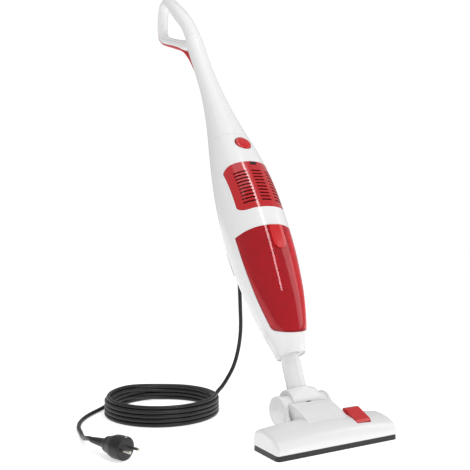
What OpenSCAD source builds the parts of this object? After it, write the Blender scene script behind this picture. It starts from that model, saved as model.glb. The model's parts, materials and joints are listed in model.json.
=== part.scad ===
// Upright stick vacuum cleaner, standing on its floor head and leaning back.
// Origin: middle of the floor head's sole, on the floor. +Z up, front is -Y.

/* [Stick] */
// Width of the motor housing at its widest
body_w = 124; // [116:1:150]
// Depth of the motor housing at its deepest
body_d = 140; // [132:1:168]
// Wall of the housing shells
wall = 2.6; // [2:0.1:3.2]
// Height of the dust cup along the stick, from its foot to its top edge
cup_h = 196; // [160:1:214]
// Wall of the clear dust cup
cup_wall = 2.2; // [1.8:0.1:3]
// Width of the power button
button_d = 34; // [28:1:36]

/* [Exhaust grille] */
// Width of the grille opening, seen from the front
grille_w = 108; // [90:1:112]
// Height of the grille opening along the stick
grille_h = 113; // [100:1:118]
// Number of slots in each column
slot_count = 10; // [6:1:12]
// Distance from slot to slot
slot_pitch = 8; // [6:0.5:8.5]

/* [Neck] */
// Outer diameter of the connecting tube
tube_d = 37; // [34:0.5:40]
// Bore of the connecting tube
tube_bore = 29; // [26:0.5:31]
// Diameter of the pivot barrel
barrel_d = 50; // [44:1:54]

/* [Floor head] */
// Width of the floor head
head_w = 250; // [230:1:300]
// Depth of the floor head
head_d = 76; // [72:1:90]
// Height of the black strip
strip_h = 9; // [7:0.5:11]

/* [Fits] */
// Gap between pieces that slide or turn past each other
gap = 0.4; // [0.3:0.05:0.6]

/* [Hidden] */

$fn = 64;

white = "#f1f1f0";
red = "#d40010";
clear_red = [0.85, 0, 0.08, 0.55];
dark = "#2a0a0c";
black = "#181818";
steel = "#b9bcc0";

// Where the stick's axis starts, at the collar's mouth, and how far it leans
stick_y = 110;
stick_z = 132;
stick_lean = 30;
// The pivot that lets the stick lean, and the lean of the tube above it
pivot_y = 76;
pivot_z = 45;
neck_lean = 23;

// Sections of the housing every 50 mm up the stick, in percent of half its width,
// of half its depth in front of the axis, and of half its depth behind it
station_step = 50;
stations = [
    [45, 46, 37], [66, 71, 50], [82, 88, 63], [92, 99, 76], [97.5, 107, 86], [100, 110, 90],
    [100, 110, 87], [97, 106, 80], [90, 97, 71], [79, 83, 61], [64.5, 67, 53], [51.5, 53, 44],
    [42, 41, 38], [36, 31, 34], [33, 23, 36], [32, 19, 38], [32, 17, 40]
];
// How square the sections are: 2 is an ellipse
squareness = 2.25;

seam_s = 478;         // the seam under the stem, at the front
seam_rise = 0.25;     // how fast the seam rises towards the back
parting_y = -8;       // where the front and rear shells meet
cup_split_y = -22;    // the shells' edge beside the dust cup
cup_foot_s = 44;      // the flat foot of the cup
cup_top_s = cup_foot_s + cup_h;
cup_inset = wall + 3.3;
grille_mid_s = 338;
grille_r = 14;
button_s = 449;
filter_y = -10;       // axis of the filter and the fan
motor_y = -6;
motor_s = 306;
motor_l = 66;
motor_r = 36;
shaft_r = 4;
tube_r = tube_d / 2;
barrel_r = barrel_d / 2;
saddle_r = barrel_r + 2;
saddle_w = 60;
barrel_w = 92;
cord_d = 8;
cord_sides = 10;

// ---------- helpers ----------

module stick() translate([0, stick_y, stick_z]) rotate([-stick_lean, 0, 0]) children();
module neck() translate([0, pivot_y, pivot_z]) rotate([-neck_lean, 0, 0]) children();
module along_x(w) rotate([90, 0, 90]) linear_extrude(w, center = true) children();
module bar_x(r, w) rotate([0, 90, 0]) cylinder(r = r, h = w, center = true);

// Catmull-Rom value of column k of the stations at height s
function row(i) = stations[max(0, min(len(stations) - 1, i))];
function spline(a, b, c, d, u) =
    b + u * (c - a + u * (2 * a - 5 * b + 4 * c - d + u * (3 * (b - c) + d - a))) / 2;
function station(k, s) = let (i = floor(s / station_step), u = s / station_step - i)
    spline(row(i - 1)[k], row(i)[k], row(i + 1)[k], row(i + 2)[k], u) / 100;
function half_w(s) = station(0, s) * body_w / 2;
function front_d(s) = station(1, s) * body_d / 2;
function rear_d(s) = station(2, s) * body_d / 2;
function power(v, e) = sign(v) * pow(abs(v), e);
function section(s, inset, n) = let (f = front_d(s), b = rear_d(s), e = 2 / squareness) [
    for (k = [0:n - 1]) let (a = 360 * (k + 0.5) / n)
        [(half_w(s) - inset) * power(cos(a), e), (b - f) / 2 + ((b + f) / 2 - inset) * power(sin(a), e), s]
];

// A closed skin over rings of n points each, listed from the bottom up
module skin(rings) {
    n = len(rings[0]);
    m = len(rings);
    sides = [for (i = [0:m - 2], k = [0:n - 1]) let (j = (k + 1) % n)
        each [[i * n + k, (i + 1) * n + k, (i + 1) * n + j], [i * n + k, (i + 1) * n + j, i * n + j]]];
    caps = [[for (k = [0:n - 1]) k], [for (k = [n - 1:-1:0]) (m - 1) * n + k]];
    polyhedron([for (r = rings) each r], concat(sides, caps), convexity = 6);
}

module housing(inset, s0, s1, steps, n = 32)
    skin([for (i = [0:steps]) section(s0 + (s1 - s0) * i / steps, inset, n)]);

function arc(cx, cy, r, a0, a1, n = 6) =
    [for (i = [0:n]) let (a = a0 + (a1 - a0) * i / n) [cx + r * cos(a), cy + r * sin(a)]];

// Side view of the bay that holds the dust cup, as (depth, height), grown by g
cup_corner_r = 12;
cup_slope = 35;
function bay_outline(g, top = cup_top_s) = let (y = cup_split_y + g, r = cup_corner_r, foot = cup_foot_s - 3 - g)
    concat([[-200, top], [y, top]],
        arc(y - r, foot + r, r, 0, cup_slope - 90, 5),
        [[-200, foot - (200 + cup_split_y) * tan(cup_slope)]]);

module cup_bay(g, top) along_x(200) polygon(bay_outline(g, top));

// A front view shape cut from the front, s up
module from_front(depth = 200) rotate([90, 0, 0]) linear_extrude(depth) children();
module rounded(w, h, r) {
    square([w - 2 * r, h], center = true);
    square([w, h - 2 * r], center = true);
    for (x = [-1, 1], y = [-1, 1]) translate([x * (w / 2 - r), y * (h / 2 - r)]) circle(r);
}
module above_seam(shift = 0) translate([0, 0, seam_s + shift + seam_rise * 51]) rotate([atan(seam_rise), 0, 0])
    translate([-100, -200, 0]) cube([200, 400, 400]);
module behind_parting() translate([-100, parting_y, -20]) cube([200, 200, 700]);

// ---------- handle ----------

// Middle lines of the handle's two bars as (back, up the stick, half width, half thickness);
// the rear bar starts inside the front bar's top end and ends inside the stem
front_bar = [
    [5, 770, 18, 17], [8, 812, 17.5, 19.5], [11, 842, 17, 18.5], [18, 874, 17, 17.5], [31, 909, 17, 18],
    [45, 945, 16, 17], [57, 975, 14.5, 15], [69, 997, 13.5, 13.5], [84, 1008, 13, 12]
];
rear_bar = [
    [72, 998, 10, 9], [88, 1007.5, 13.4, 12.4], [104, 1001, 14, 12.5], [117, 987, 14, 12], [130, 968, 14, 11.5],
    [137, 948, 14, 11.5], [132, 928, 14, 11.5], [116, 906, 14, 11.5], [97, 883, 14, 11.5], [77, 859, 14.5, 12],
    [57, 836, 15, 13], [38, 813, 15, 14], [16, 792, 13, 12]
];
bar_sides = 14;
bar_steps = 3;
function bar_row(b, i) = b[max(0, min(len(b) - 1, i))];
function bar_at(b, i, u) = [for (k = [0:3])
    spline(bar_row(b, i - 1)[k], bar_row(b, i)[k], bar_row(b, i + 1)[k], bar_row(b, i + 2)[k], u)];
function bar_path(b) = concat([for (i = [0:len(b) - 2], j = [0:bar_steps - 1]) bar_at(b, i, j / bar_steps)],
    [b[len(b) - 1]]);
function side_dir(p, i) = let (d = p[min(len(p) - 1, i + 1)] - p[max(0, i - 1)]) [d[0], d[1]] / norm([d[0], d[1]]);
// Oval ring across a side-view path of (back, up, half width, half thickness)
function oval(p, i, n) = let (t = side_dir(p, i)) [
    for (k = [0:n - 1]) let (a = 360 * k / n, o = p[i][3] * sin(a))
        [p[i][2] * cos(a), p[i][0] + o * t[1], p[i][1] - o * t[0]]
];
module oval_skin(p, n) skin([for (i = [0:len(p) - 1]) oval(p, i, n)]);
module loop_blank() {
    oval_skin(bar_path(front_bar), bar_sides);
    oval_skin(bar_path(rear_bar), bar_sides);
}
// Side view of what the back bar's own moulding makes of the loop
back_region = [[95, 985], [170, 985], [170, 790], [85, 812], [45, 862], [60, 890], [100, 930], [112, 960]];

stem_top_s = 806;
module handle_shell() color(white) stick() difference() {
    union() {
        housing(0, 470, stem_top_s, 20, 28);
        loop_blank();
    }
    housing(wall, 460, stem_top_s - 60, 14, 20);
    difference() {
        translate([-100, -100, 400]) cube([200, 200, 300]);
        above_seam();
    }
    along_x(200) polygon(back_region);
    inlay_blank();
}
module handle_back() color(white) stick() difference() {
    intersection() {
        oval_skin(bar_path(rear_bar), bar_sides);
        along_x(200) polygon(back_region);
    }
    inlay_blank();
}

// Red soft strip let into the back of the loop and the stem, as (back, up, half width, height)
inlay_line = [
    [84, 1017.5, 4, 2.5], [92, 1016, 7, 4], [109, 1008.5, 10.5, 4.5], [124, 992.5, 11, 4.5], [137, 972, 11, 4.5],
    [145, 948, 11, 4.5], [139, 924.5, 11, 4.5], [122, 901.5, 11.5, 5], [102, 879, 12, 6], [81.5, 855, 13, 7],
    [62, 831.5, 13, 7.5], [46, 806, 12, 8], [36, 772, 10, 6], [30, 738, 9.5, 5], [27, 705, 8, 4], [26, 688, 4, 2.5]
];
module inlay_blank() oval_skin(bar_path(inlay_line), 12);
module handle_inlay() color(red) stick() inlay_blank();

// ---------- housing ----------

module shell_blank() difference() {
    housing(0, 0, seam_s + 20, 20);
    housing(wall, -1, seam_s + 25, 20, 28);
    above_seam(-0.1);
}
module grille_hole(g) translate([0, -20, grille_mid_s]) from_front()
    rounded(grille_w + 2 * g, grille_h + 2 * g, grille_r + g);
module button_hole(r) translate([0, -front_d(button_s), button_s]) rotate([90 - button_tilt, 0, 0])
    cylinder(r = r, h = 40, center = true);

module front_shell() color(white) stick() difference() {
    shell_blank();
    behind_parting();
    cup_bay(gap, cup_top_s + gap);
    grille_hole(0.3);
    button_hole(button_d / 2 + 1.5);
}

gland_s = 272;
gland_r = 9;
module rear_shell() color(white) stick() difference() {
    intersection() {
        shell_blank();
        behind_parting();
    }
    stick_inverse() cord_drop() cylinder(r = gland_r + 0.2, h = 60, center = true);
    for (s = screw_heights) translate([0, 20, s]) rotate([-90, 0, 0]) cylinder(r = 4, h = 60);
}

module grille_slots() for (c = [-1:1], i = [0:slot_count - 1])
    translate([c * 33, -45, grille_mid_s - 4 + (i - (slot_count - 1) / 2) * slot_pitch])
        from_front() rounded(23, 3.6, 1.7);
grille_wall = 2.6;
module grille_inside() housing(grille_wall, 265, 410, 8, 28);
module grille_cover() color(clear_red) stick() difference() {
    intersection() {
        housing(0.2, 270, 405, 8);
        translate([0, -20, grille_mid_s]) from_front() rounded(grille_w, grille_h, grille_r);
    }
    grille_inside();
    grille_slots();
}
module exhaust_filter() color("#3a3a3a") stick() intersection() {
    translate([-32, -66, 288]) cube([64, 11, 98]);
    grille_inside();
}

// The button's own frame: out of the sloping front shell
button_tilt = 13;
button_h = 12;
module at_button() stick() translate([0, -front_d(button_s), button_s]) rotate([90 - button_tilt, 0, 0]) children();
module button_guide() color(black) at_button() difference() {
    translate([0, 0, -17]) cylinder(r = button_d / 2 + 1.3, h = 14);
    translate([0, 0, -18]) cylinder(r = button_d / 2 + gap, h = 20);
}
module power_button() color(red) at_button() difference() {
    union() {
        translate([0, 0, -button_h]) cylinder(r = button_d / 2, h = button_h + 0.5);
        translate([0, 0, 0.5]) scale([1, 1, 0.16]) sphere(r = button_d / 2);
    }
    translate([0, 0, -button_h - 1]) cylinder(r = button_d / 2 - 2, h = 9);
}
module power_switch() color("#303033") at_button() {
    translate([-10, -14, -34]) cube([20, 28, 15.8]);
    translate([-3, -3, -18.2]) cube([6, 6, 8]);
}

// ---------- motor and fan ----------

module at_motor() stick() translate([0, motor_y, motor_s]) children();
module motor_can() color(steel) at_motor() difference() {
    cylinder(r = motor_r, h = motor_l);
    translate([0, 0, 1.5]) cylinder(r = motor_r - 1.5, h = motor_l - 3);
    translate([0, 0, -1]) cylinder(r = 11, h = motor_l + 2);
    for (a = [0:60:300]) rotate(a) translate([22, 0, -1]) cylinder(r = 5, h = 4);
    for (a = [0:60:300]) rotate(a + 30) translate([motor_r - 8, 0, motor_l * 0.7]) rotate([0, 90, 0]) cylinder(r = 5, h = 10);
}
module motor_core() color("#8a4a20") at_motor() difference() {
    translate([0, 0, 14]) cylinder(r = 30, h = 34);
    translate([0, 0, 10]) cylinder(r = shaft_r + 14, h = 42);
    for (a = [45:90:315]) rotate(a) translate([24, 0, 10]) cylinder(r = 4, h = 42);
}
module motor_mounts() color(black) at_motor() for (s = [3, motor_l - 11]) translate([0, 0, s]) difference() {
    cylinder(r = motor_r + 6, h = 8);
    translate([0, 0, -1]) cylinder(r = motor_r, h = 10);
}
module motor_bearings() color(steel) at_motor() for (s = [0, motor_l - 7]) translate([0, 0, s]) difference() {
    cylinder(r = 11, h = 7);
    translate([0, 0, -1]) cylinder(r = shaft_r, h = 9);
}
module impeller() color("#c9ccd0") at_motor() {
    translate([0, 0, -30]) cylinder(r = shaft_r - 0.3, h = motor_l + 34);
    translate([0, 0, 12]) cylinder(r = shaft_r + 12, h = 34);
    translate([0, 0, -8]) cylinder(r = 33, h = 2);
    translate([0, 0, -24]) difference() {
        cylinder(r = 33, h = 2);
        translate([0, 0, -1]) cylinder(r = 17, h = 4);
    }
    difference() {
        for (a = [0:40:320]) rotate(a) translate([15, -0.7, -22.5]) rotate(25) cube([17, 1.4, 15]);
        translate([0, 0, -40]) difference() {
            cylinder(r = 60, h = 60);
            translate([0, 0, -1]) cylinder(r = 33, h = 62);
        }
    }
}
module fan_shroud() color("#d8d8d8") at_motor() difference() {
    translate([0, 0, -30]) cylinder(r = motor_r + 3, h = 29);
    translate([0, 0, -27]) cylinder(r = motor_r + 0.6, h = 40);
    translate([0, 0, -31]) cylinder(r = 15, h = 10);
}
bulkhead_s = cup_top_s + gap;
module bulkhead() color("#e2e2e2") stick() difference() {
    housing(wall + 0.35, bulkhead_s, bulkhead_s + 4, 1, 28);
    translate([0, motor_y, 0]) cylinder(r = 22, h = 400);
}

// Round lead through listed points, as one skin; each ring lies across the path
function unit(v) = v / norm(v);
function path_dir(p, i) = unit(p[min(len(p) - 1, i + 1)] - p[max(0, i - 1)]);
function lead_ring(p, i, r, n, side) = let (t = path_dir(p, i), u = unit(cross(side, t)), v = cross(t, u))
    [for (k = [0:n - 1]) let (a = 360 * k / n) p[i] + r * (u * cos(a) + v * sin(a))];
module lead(p, r, n, side) skin([for (i = [0:len(p) - 1]) lead_ring(p, i, r, n, side)]);

wire_a = [[5, 48, 272], [5, 46, 290], [6, 42, 320], [6, 41, 365], [6, 36, 400], [5, 24, 430], [3, 0, 446],
    [3, -24, 441.5]];
wire_b = [[-5, 48, 272], [-5, 47, 290], [-6, 43, 320], [-6, 42, 350], [-6, 41, 366], [-6, 35, 378],
    [-6, 26, 382], [-6, 20, 378], [-6, 18, 374]];
module wiring() color("#20242c") stick() {
    lead(wire_a, 2, 8, [1, 0, 0]);
    lead(wire_b, 2, 8, [1, 0, 0]);
}
screw_heights = [350, 400, 452];
module housing_screws() color(steel) stick() for (s = screw_heights) translate([0, rear_d(s) - 12, s])
    rotate([-90, 0, 0]) {
        cylinder(r = 3.6, h = 2.4);
        translate([0, 0, -14]) cylinder(r = 1.5, h = 15);
    }
vent_s0 = 192;
vent_s1 = 244;
module rear_vent() color("#4a4c50") stick() difference() {
    intersection() {
        housing(-1.6, vent_s0, vent_s1, 3);
        translate([-46, 15, 0]) cube([92, 80, 400]);
    }
    housing(0, 0, seam_s + 20, 20);
}

// ---------- mains lead at the housing ----------

cord_x = 0;
cord_y = 301;
cord_exit_z = 318;
module cord_drop() translate([cord_x, cord_y, cord_exit_z]) children();
module stick_inverse() rotate([stick_lean, 0, 0]) translate([0, -stick_y, -stick_z]) children();
module cord_gland() color(black) cord_drop() {
    difference() {
        union() {
            cylinder(r = gland_r, h = 30);
            translate([0, 0, -32]) cylinder(r1 = cord_d / 2 + 1, r2 = 7.4, h = 32);
        }
        for (z = [-26:8:-2]) translate([0, 0, z]) difference() {
            cylinder(r = 12, h = 2.4);
            translate([0, 0, -1]) cylinder(r = cord_d / 2 + 0.8, h = 5);
        }
    }
}

// ---------- neck ----------

tube_foot = 36;
tube_top = 124;
collar_h = 34;
module neck_bore(r, u0, u1) neck() translate([0, 0, u0]) cylinder(r = r, h = u1 - u0);
module neck_collar() color("#dcdcdc") difference() {
    stick() difference() {
        housing(wall + 0.2, 2, collar_h, 3, 28);
        cup_bay(2 * gap, cup_top_s);
    }
    neck_bore(tube_r - 1 + gap, 60, 126.5);
    neck_bore(tube_bore / 2, 60, 170);
    neck() translate([0, 0, 108]) cylinder(r = tube_r + 1.2, h = 4);
}
// Plate that the cup's foot stands on, with the air hole
module cup_seat() color("#dcdcdc") stick() difference() {
    housing(wall + 0.2, collar_h + 0.1, cup_foot_s + 0.6, 1, 28);
    cup_bay(2 * gap, cup_top_s);
    translate([0, inlet_y, 0]) cylinder(r = inlet_r, h = 100);
}
module neck_seal() color(black) neck() translate([0, 0, 110]) rotate_extrude()
    translate([tube_r + 0.1, 0]) square([1.8, 3.6], center = true);
module neck_tube() color(white) neck() difference() {
    union() {
        translate([0, 0, tube_foot]) cylinder(r = tube_r, h = 48);
        translate([0, 0, tube_foot]) cylinder(r = tube_r - 1, h = tube_top - tube_foot);
        translate([0, 0, barrel_r + 1]) cylinder(r = tube_bore / 2 + 1.6, h = tube_foot - barrel_r);
        translate([-3, -tube_r - 0.8, tube_foot + 2]) cube([6, 3, 44]);
    }
    translate([0, 0, 0]) cylinder(r = tube_bore / 2, h = 200);
}
module swivel_yoke() color(white) difference() {
    neck() hull() {
        translate([0, 0, tube_foot - 6]) cylinder(r = tube_r + 2, h = 6 - gap, $fn = 32);
        translate([0, 0, 8]) bar_x_faceted(saddle_r, saddle_w);
    }
    neck() translate([0, 0, barrel_r + 1 - gap]) cylinder(r = tube_bore / 2 + 1.6 + gap, h = 40);
    neck() cylinder(r = tube_bore / 2, h = 40);
    at_pivot() {
        bar_x(barrel_r, 200);
        saddle_trim();
        hose_port();
    }
}
// Round way for the air from the head into the barrel
port_lean = 80;
module hose_port() rotate([port_lean, 0, 0]) cylinder(r = tube_bore / 2 - 1, h = 60);
// Nothing of the yoke reaches forward of the barrel's own circle
module saddle_trim() difference() {
    translate([-60, -60, -60]) cube([120, 60, 66]);
    bar_x(saddle_r, 200);
}
module bar_x_faceted(r, w) rotate([0, 90, 0]) cylinder(r = r, h = w, center = true, $fn = 32);
module pivot_barrel() color("#ececec") difference() {
    at_pivot() bar_x(barrel_r, barrel_w);
    at_pivot() bar_x(barrel_r - 3, barrel_w - 8);
    at_pivot() bar_x(pin_r + gap / 2, barrel_w + 10);
    neck() cylinder(r = tube_bore / 2, h = 60);
    at_pivot() hose_port();
}
pin_r = 6;

// ---------- floor head ----------

head_crown = 0.26;    // how much higher the cover is in the middle
head_profile = [[-38, 9], [-37, 18], [-33.5, 25], [-28, 29.5], [-18, 33.5], [-6, 36], [8, 37.3],
    [20, 37], [29, 34], [35, 28], [38, 19], [38, 9]];
function head_z(z, x) = strip_h + (z - 9) * (1 + head_crown * (1 - pow(abs(2 * x / head_w), 2)));
function head_ring(x, inset) = [for (i = [len(head_profile) - 1:-1:0]) let (p = head_profile[i])
    [x, (p[0] * (1 - inset / 38)) * head_d / 76, p[1] < 10 ? strip_h - inset / 10 : head_z(p[1], x) - inset]];
module head_loft(w, inset, n = 10)
    skin([for (i = [0:n]) head_ring(-w / 2 + w * i / n, inset)]);

hump_w = 84;
hump_profile = [[-16, 36], [0, 45.5], [20, 55], [36, 60.5], [48, 62.5], [58, 61], [66, 56], [66, 16], [37, 16],
    [34, 36]];
hump_hollow = [[-6, 30], [-6, 36], [4, 42], [22, 51], [36, 56], [46, 58], [46, 20], [34, 20]];
cap_t = 3;
module at_pivot() translate([0, pivot_y, pivot_z]) children();
module head_cover() color(white) difference() {
    union() {
        head_loft(head_w - 2 * cap_t - 0.2, 0);
        along_x(hump_w) polygon(hump_profile);
    }
    difference() {
        head_loft(head_w - 2 * cap_t - 10, 2.4);
        for (x = [-1, 1]) translate([pedal_x + x * (pedal_w / 2 + 2), pedal_pin_y, pedal_pin_z])
            cube([2.4, 12, 16], center = true);
    }
    along_x(hump_w - 6) polygon(hump_hollow);
    at_hose() translate([0, 0, -8]) cylinder(r = tube_bore / 2 - 1.4, h = 20);
    at_pivot() bar_x(saddle_r + 0.8, saddle_w + 3);
    at_pivot() bar_x(barrel_r + 0.6, 200);
    translate([-(saddle_w + 3) / 2, 48.5, 50]) cube([saddle_w + 3, 60, 60]);
    translate([pedal_x - pedal_w / 2 - 0.6, -26, 20]) cube([pedal_w + 1.2, 45.5, 60]);
    translate([pedal_x, pedal_pin_y, pedal_pin_z]) bar_x(pedal_pin_r + gap, pedal_w + 8);
}
module end_caps() color("#ebebeb") for (m = [0, 1]) mirror([m, 0, 0])
    intersection() {
        head_loft(head_w, 0.3);
        translate([head_w / 2 - cap_t, -60, strip_h]) cube([cap_t, 120, 60]);
    }
module head_outline(grow = 0) rounded(head_w + 2 * grow, head_d + 2 * grow, 7 + grow);
mouth_y = -17;
mouth_d = 14;
mouth_w = head_w - 50;
strip_t = 4;
module head_base() color("#e4e4e4") difference() {
    union() {
        linear_extrude(3) head_outline(-strip_t);
        linear_extrude(strip_h) difference() {
            head_outline(-strip_t);
            head_outline(-strip_t - 2.4);
        }
        translate([-mouth_w / 2 - 2, mouth_y - mouth_d / 2 - 2, 0]) cube([mouth_w + 4, mouth_d + 4, 16]);
        for (x = [-1, 1]) {
            translate([x * wheel_x - 10, wheel_y - 10, 0]) cube([20, 18.5, 11]);
            translate([x * roller_x - 9, roller_y - 7, 0]) cube([18, 14, 7]);
        }
        at_head_screws() cylinder(r = 4, h = 12);
    }
    at_head_screws() {
        translate([0, 0, -1]) cylinder(r = 3.6, h = 2.6);
        cylinder(r = 1.5, h = 14);
    }
    translate([-mouth_w / 2, mouth_y - mouth_d / 2, -1]) cube([mouth_w, mouth_d, 40]);
    for (x = [-1, 1]) {
        translate([x * wheel_x - 6, wheel_y - wheel_r - 0.6, -1]) cube([12, 2 * wheel_r + 1.2, 20]);
        translate([x * wheel_x, wheel_y, wheel_r]) bar_x(wheel_pin_r + gap / 2, 30);
        translate([x * roller_x - 6, roller_y - 5, -1]) cube([12, 10, 20]);
        translate([x * roller_x, roller_y, roller_r]) bar_x(wheel_pin_r + gap / 2, 30);
    }
    translate([-mouth_w / 2 - 1, brush_y - 2.2, -1]) cube([mouth_w + 2, 4.4, 20]);
    for (y = lint_ys) translate([-mouth_w / 2, y - 1.6, -1]) cube([mouth_w, 3.2, 2.4]);
}
module bumper_strip() color(black) linear_extrude(strip_h) difference() {
    head_outline();
    head_outline(-strip_t);
}
module pivot_cheeks() color("#e9e9e9") for (m = [0, 1]) mirror([m, 0, 0]) {
    translate([barrel_w / 2 + gap + 2.5, 0, 0]) along_x(5) {
        translate([pivot_y, pivot_z]) circle(barrel_r + 1);
        polygon([[34, 14], [34, 26], [60, 65], [86, 26], [70, 20]]);
    }
    translate([barrel_w / 2 - 1.5, pivot_y, pivot_z]) bar_x(pin_r, 5);
}
module at_hose() translate([0, 47, 36]) rotate([105, 0, 0]) children();
module head_hose() color("#3a3a3c") at_hose() difference() {
    cylinder(r = tube_bore / 2 - 1.5, h = 22);
    translate([0, 0, -1]) cylinder(r = tube_bore / 2 - 3.5, h = 30);
}
lint_ys = [-5.6, 9];
module lint_strips() color("#b01018") for (y = lint_ys) translate([-mouth_w / 2, y - 1.6, 0.2])
    cube([mouth_w, 3.2, 1.2]);
pedal_x = 61;
pedal_w = 30;
pedal_pin_y = -18;
pedal_pin_z = 32.5;
pedal_pin_r = 2.4;
module pedal() color(red) translate([pedal_x, 0, 0]) {
    along_x(pedal_w) polygon([[-25, 36], [-22, 40], [8, 53.5], [14, 53], [16, 49], [12, 45], [-16, 30], [-21, 30]]);
    translate([0, pedal_pin_y, pedal_pin_z]) bar_x(pedal_pin_r, pedal_w + 6);
}
brush_y = -29;
module brush_strip() color("#202020") translate([-mouth_w / 2, brush_y - 1.6, 0]) {
    translate([0, 0, 6]) cube([mouth_w, 3.2, 6]);
    for (i = [0:floor(mouth_w / 8) - 1]) translate([i * 8 + 1.5, 0.4, 0.4]) cube([5, 2.4, 6]);
}
wheel_x = 70;
wheel_y = 24;
wheel_r = 7;
wheel_pin_r = 1.6;
roller_x = head_w / 2 - 15;
roller_y = 4;
roller_r = 4;
module rear_wheels() color(black) translate([0, wheel_y, wheel_r]) {
    for (x = [-1, 1]) translate([x * wheel_x, 0, 0]) {
        bar_x(wheel_r, 10);
        bar_x(wheel_pin_r, 18);
    }
}
module front_rollers() color(black) translate([0, roller_y, roller_r]) for (x = [-1, 1])
    translate([x * roller_x, 0, 0]) {
        bar_x(roller_r, 10);
        bar_x(wheel_pin_r, 16);
    }
module at_head_screws() for (x = [-95, -40, 40, 95]) translate([x, 19, 0]) children();
module head_screws() color(steel) at_head_screws() {
    translate([0, 0, 0.4]) cylinder(r = 3.4, h = 1.2);
    translate([0, 0, 0.4]) cylinder(r = 1.5, h = 12);
}

// ---------- dust cup ----------

module cup_outer(grow) {
    intersection() {
        housing(-grow, 10, cup_top_s - 0.2, 12);
        cup_bay(0, cup_top_s);
    }
    housing(cup_inset, cup_foot_s + 1, cup_top_s - 0.2, 8, 28);
}
module cup_inner() {
    intersection() {
        housing(cup_wall, 10, cup_top_s + 5, 12);
        cup_bay(-cup_wall, cup_top_s + 20);
    }
    housing(cup_inset + cup_wall, cup_foot_s + 4, cup_top_s + 5, 8, 28);
}
module dust_cup() color(clear_red) stick() difference() {
    cup_outer(0);
    cup_inner();
    translate([0, inlet_y, cup_foot_s - 20]) cylinder(r = inlet_r, h = 60);
}
inlet_y = -1;
inlet_r = 14;
module cup_seal() color(black) stick() difference() {
    housing(cup_inset + cup_wall + 0.1, cup_top_s - 5, cup_top_s + gap / 2, 1, 28);
    housing(cup_inset + cup_wall + 4, cup_top_s - 7, cup_top_s + 5, 1, 28);
}
// Heights of the filter assembly, measured down from the cup's top edge
module filter_axis(down) translate([0, filter_y, cup_top_s - down]) children();
flange_r = 44;
cyclone_r = 25;
module filter_frame() color(dark) stick() difference() {
    union() {
        housing(cup_inset + cup_wall + 0.3, cup_top_s - 40, cup_top_s - 6, 2, 28);
        filter_axis(114) cylinder(r = cyclone_r, h = 80);
        filter_axis(77) cylinder(r = cyclone_r + 3.5, h = 4);
        filter_axis(122) cylinder(r = 34, h = 8);
        filter_axis(142) cylinder(r1 = 20, r2 = 28, h = 20);
    }
    filter_axis(116) cylinder(r = cyclone_r - 2.5, h = 120);
    filter_axis(36) cylinder(r = flange_r - 2.5, h = 50);
}
module mesh_screen() color("#7a1a1e") stick() difference() {
    filter_axis(72) cylinder(r = cyclone_r + 2, h = 31);
    filter_axis(80) cylinder(r = cyclone_r + 0.1, h = 60);
}
pleats = 36;
function pleat_line(r0, r1) = [for (k = [0:2 * pleats - 1]) let (r = k % 2 == 0 ? r0 : r1, a = 180 * k / pleats)
    [r * cos(a), r * sin(a)]];
module pleated_filter() color("#e8e4dc") stick() filter_axis(34) linear_extrude(22) difference() {
    polygon(pleat_line(40, 36));
    polygon(pleat_line(38.6, 34.6));
}
module inlet_pipe() color(dark) stick() translate([0, inlet_y, cup_foot_s + 1]) difference() {
    cylinder(r = inlet_r - 0.1, h = cup_h - 150);
    translate([0, 0, -1]) cylinder(r = inlet_r - 2, h = cup_h);
}
latch_w = 29;
latch_h = 50;
latch_pin_s = cup_top_s - 5;
module cup_latch() color(red) stick() intersection() {
    difference() {
        housing(-2.6, cup_top_s - 60, cup_top_s - 1, 3);
        housing(-0.4, cup_top_s - 70, cup_top_s + 10, 3);
    }
    from_front() {
        translate([-latch_w / 2, cup_top_s - 32]) square([latch_w, 31]);
        translate([0, cup_top_s - 50 + 14]) circle(latch_w / 2);
    }
}

// ---------- mains lead ----------

// Route of the lead: down from the gland and onto the coil's top
cord_line = [
    [0, 301, 286], [0, 300, 260], [0, 298, 230], [0, 296, 200], [0, 294.5, 170], [-2, 295, 140],
    [-7, 297, 110], [-15, 299, 84], [-27, 301, 62], [-41, 299, 46], [-54, 293, 38.5], [-65, 282.5, 35.2],
    [-74, 270.5, 35], [-84, 258.5, 35]
];
// Route from the coil's foot, round a bend behind it and on to the plug
lead_line = [
    [-214, 430, 4], [-196, 437.5, 4], [-177.5, 442, 4], [-160, 444.5, 4], [-140.5, 453, 4], [-129.5, 469, 4],
    [-127.5, 488.5, 4], [-136, 506.5, 4], [-152, 517.5, 4], [-171.5, 519.5, 4], [-188.5, 512, 4],
    [-199, 499, 4], [-209, 482, 4], [-221, 462, 4], [-233, 443, 4], [-246, 425, 4], [-259, 409, 4],
    [-273, 395, 4], [-288, 381, 4], [-303, 366, 4], [-317, 349, 4], [-330, 329, 4], [-340, 307, 4],
    [-347, 283, 4], [-351, 258, 4], [-355.5, 233, 5], [-359.5, 209, 9], [-362, 186, 15],
    [-361.5, 170, 18.5], [-359.5, 158, 19]
];
coil_x = -162;
coil_y = 332;
coil_r = 107;
coil_layers = 4;
module cord_tube() color(black) lead(cord_line, cord_d / 2, cord_sides, [1, 0.2, 0]);
module cord_lead() color(black) lead(lead_line, cord_d / 2, cord_sides, [0, 0, 1]);
module cord_coil() color("#222222") translate([coil_x, coil_y, 0]) rotate_extrude($fn = 72) {
    translate([coil_r - cord_d, 0]) square([2 * cord_d, coil_layers * cord_d]);
    translate([coil_r, (coil_layers + 0.37) * cord_d]) circle(cord_d / 2, $fn = 24);
}
plug_r = 19;
plug_l = 46;
plug_turn = 24;
relief_l = 34;
module plug_frame() translate([-347, 130, plug_r]) rotate([90, 0, plug_turn]) children();
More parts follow.
